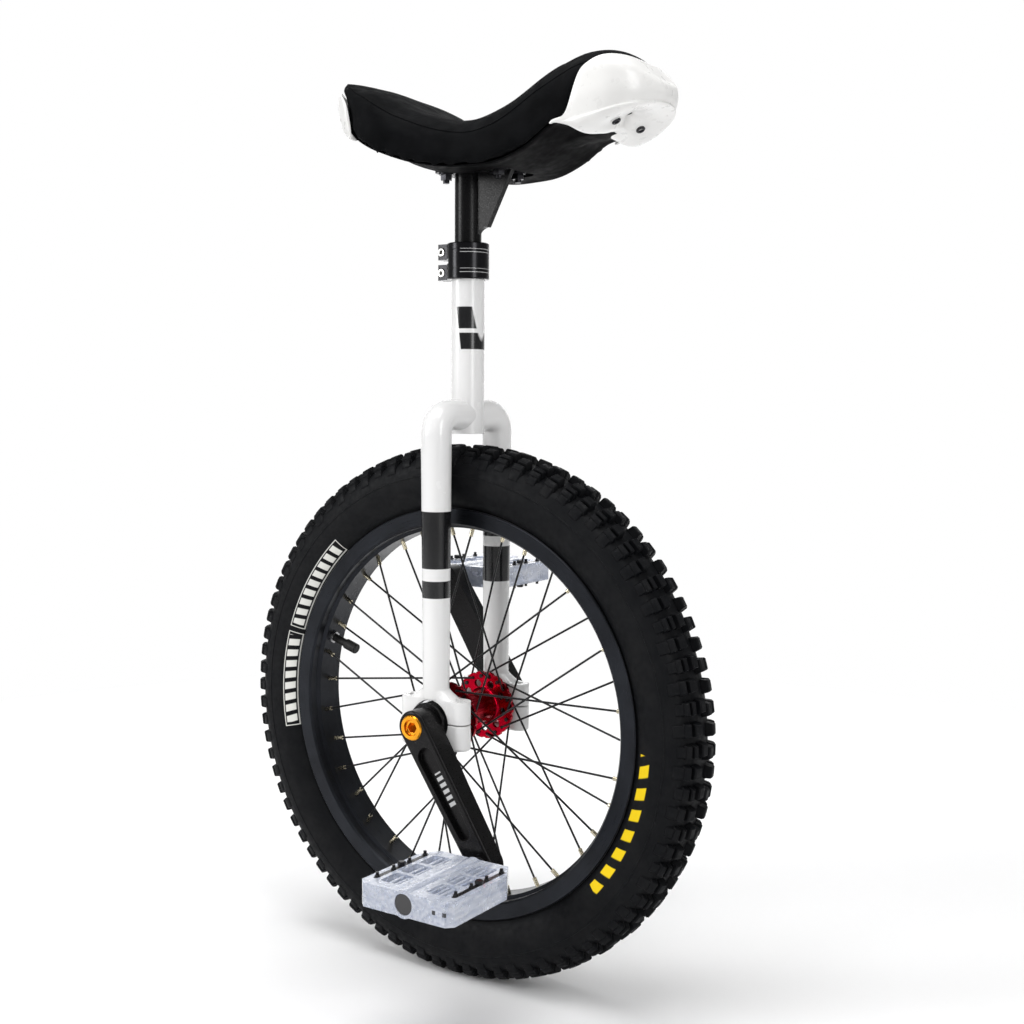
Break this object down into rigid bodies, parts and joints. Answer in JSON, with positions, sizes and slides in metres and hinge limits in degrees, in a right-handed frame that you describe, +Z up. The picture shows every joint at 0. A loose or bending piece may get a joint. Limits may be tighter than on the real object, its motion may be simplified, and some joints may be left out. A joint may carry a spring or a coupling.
{
  "type": "unicycle",
  "caption": "Trials unicycle: two-legged frame, spoked wheel with a knobbly tyre, cranks, platform pedals and a curved saddle on a sliding seatpost.",
  "frame": {"origin": "on the ground at the tyre's lowest point, straight under the axle", "axes": "+X forward, +Y to the rider's left along the axle, +Z up the seat tube"},
  "size_m": [0.52, 0.398, 0.8649],
  "materials": {
    "frame_paint": "white gloss powder coat",
    "black_steel": "satin black",
    "clamp_black": "black anodised",
    "crank_black": "black anodised, satin",
    "steel": "machined",
    "dark_steel": "black oxide",
    "spoke_black": "black",
    "nipple_brass": "nickel-tinted brass",
    "hub_red": "red anodised",
    "gold": "gold anodised",
    "rim_black": "black anodised",
    "tyre_rubber": "black tread rubber",
    "tube_rubber": "butyl",
    "valve_black": "black",
    "tape": "woven rim tape",
    "bearing_steel": "ground",
    "seal_rubber": "black",
    "cage_plastic": "nylon",
    "pedal_clear": "clear polycarbonate",
    "pin_black": "black",
    "bronze": "sintered",
    "cap_dark": "dark grey",
    "cushion_black": "matte black cover",
    "bumper_white": "white",
    "base_black": "black",
    "zinc": "zinc plated"
  },
  "bodies": {
    "frame": {"frame": "frame_paint", "right_bearing_cap": "frame_paint", "left_bearing_cap": "frame_paint", "bearing_cap_bolts": "zinc", "seat_clamp": "clamp_black", "seat_clamp_bolts": "zinc", "right_bearing_outer_ring": "bearing_steel", "right_bearing_seals": "seal_rubber", "left_bearing_outer_ring": "bearing_steel", "left_bearing_seals": "seal_rubber"},
    "wheel": {"tyre": "tyre_rubber", "inner_tube": "tube_rubber", "rim": "rim_black", "rim_tape": "tape", "right_spokes": "spoke_black", "left_spokes": "spoke_black", "spoke_nipples": "nipple_brass", "valve_stem": "valve_black", "valve_nut": "steel", "valve_cap": "valve_black", "hub_shell": "hub_red", "hub_spindle": "steel", "crank_spacers": "clamp_black", "crank_bolts": "gold", "right_bearing_inner_ring": "bearing_steel", "right_crank": "crank_black", "right_pedal_spindle": "dark_steel", "right_pedal_nut": "zinc", "left_bearing_inner_ring": "bearing_steel", "left_crank": "crank_black", "left_pedal_spindle": "dark_steel", "left_pedal_nut": "zinc"},
    "seat": {"seatpost": "black_steel", "saddle_base": "base_black", "saddle_stiffener": "steel", "saddle_cushion": "cushion_black", "front_bumper": "bumper_white", "rear_bumper": "bumper_white", "bumper_screws": "dark_steel", "saddle_bolts": "zinc", "saddle_washers": "zinc", "saddle_nuts": "zinc"},
    "right_pedal": {"right_pedal_body": "pedal_clear", "right_pedal_pins": "pin_black", "right_pedal_bush": "bronze", "right_pedal_bearing": "bearing_steel", "right_pedal_cap": "cap_dark"},
    "right_rollers": {"right_bearing_balls": "bearing_steel", "right_bearing_cage": "cage_plastic"},
    "left_pedal": {"left_pedal_body": "pedal_clear", "left_pedal_pins": "pin_black", "left_pedal_bush": "bronze", "left_pedal_bearing": "bearing_steel", "left_pedal_cap": "cap_dark"},
    "left_rollers": {"left_bearing_balls": "bearing_steel", "left_bearing_cage": "cage_plastic"}
  },
  "joints": [
    {"name": "wheel_spin", "type": "hinge", "parent": "frame", "child": "wheel", "pos_m": [0, 0, 0.26], "axis": [0, 1, 0], "continuous": true},
    {"name": "right_pedal_spin", "type": "hinge", "parent": "wheel", "child": "right_pedal", "pos_m": [0.07748, -0.148, 0.14339], "axis": [0, 1, 0], "continuous": true},
    {"name": "left_pedal_spin", "type": "hinge", "parent": "wheel", "child": "left_pedal", "pos_m": [-0.07748, 0.148, 0.37661], "axis": [0, 1, 0], "continuous": true},
    {"name": "right_rollers_spin", "type": "hinge", "parent": "frame", "child": "right_rollers", "pos_m": [0, -0.05, 0.26], "axis": [0, 1, 0], "continuous": true},
    {"name": "left_rollers_spin", "type": "hinge", "parent": "frame", "child": "left_rollers", "pos_m": [0, 0.05, 0.26], "axis": [0, 1, 0], "continuous": true},
    {"name": "seatpost_slide", "type": "slide", "parent": "frame", "child": "seat", "axis": [0, 0, 1], "range_m": [-0.008, 0.09]}
  ],
  "couplings": [
    {"joint": "right_rollers_spin", "follows": "wheel_spin", "ratio": 0.40078},
    {"joint": "left_rollers_spin", "follows": "wheel_spin", "ratio": 0.40078}
  ]
}
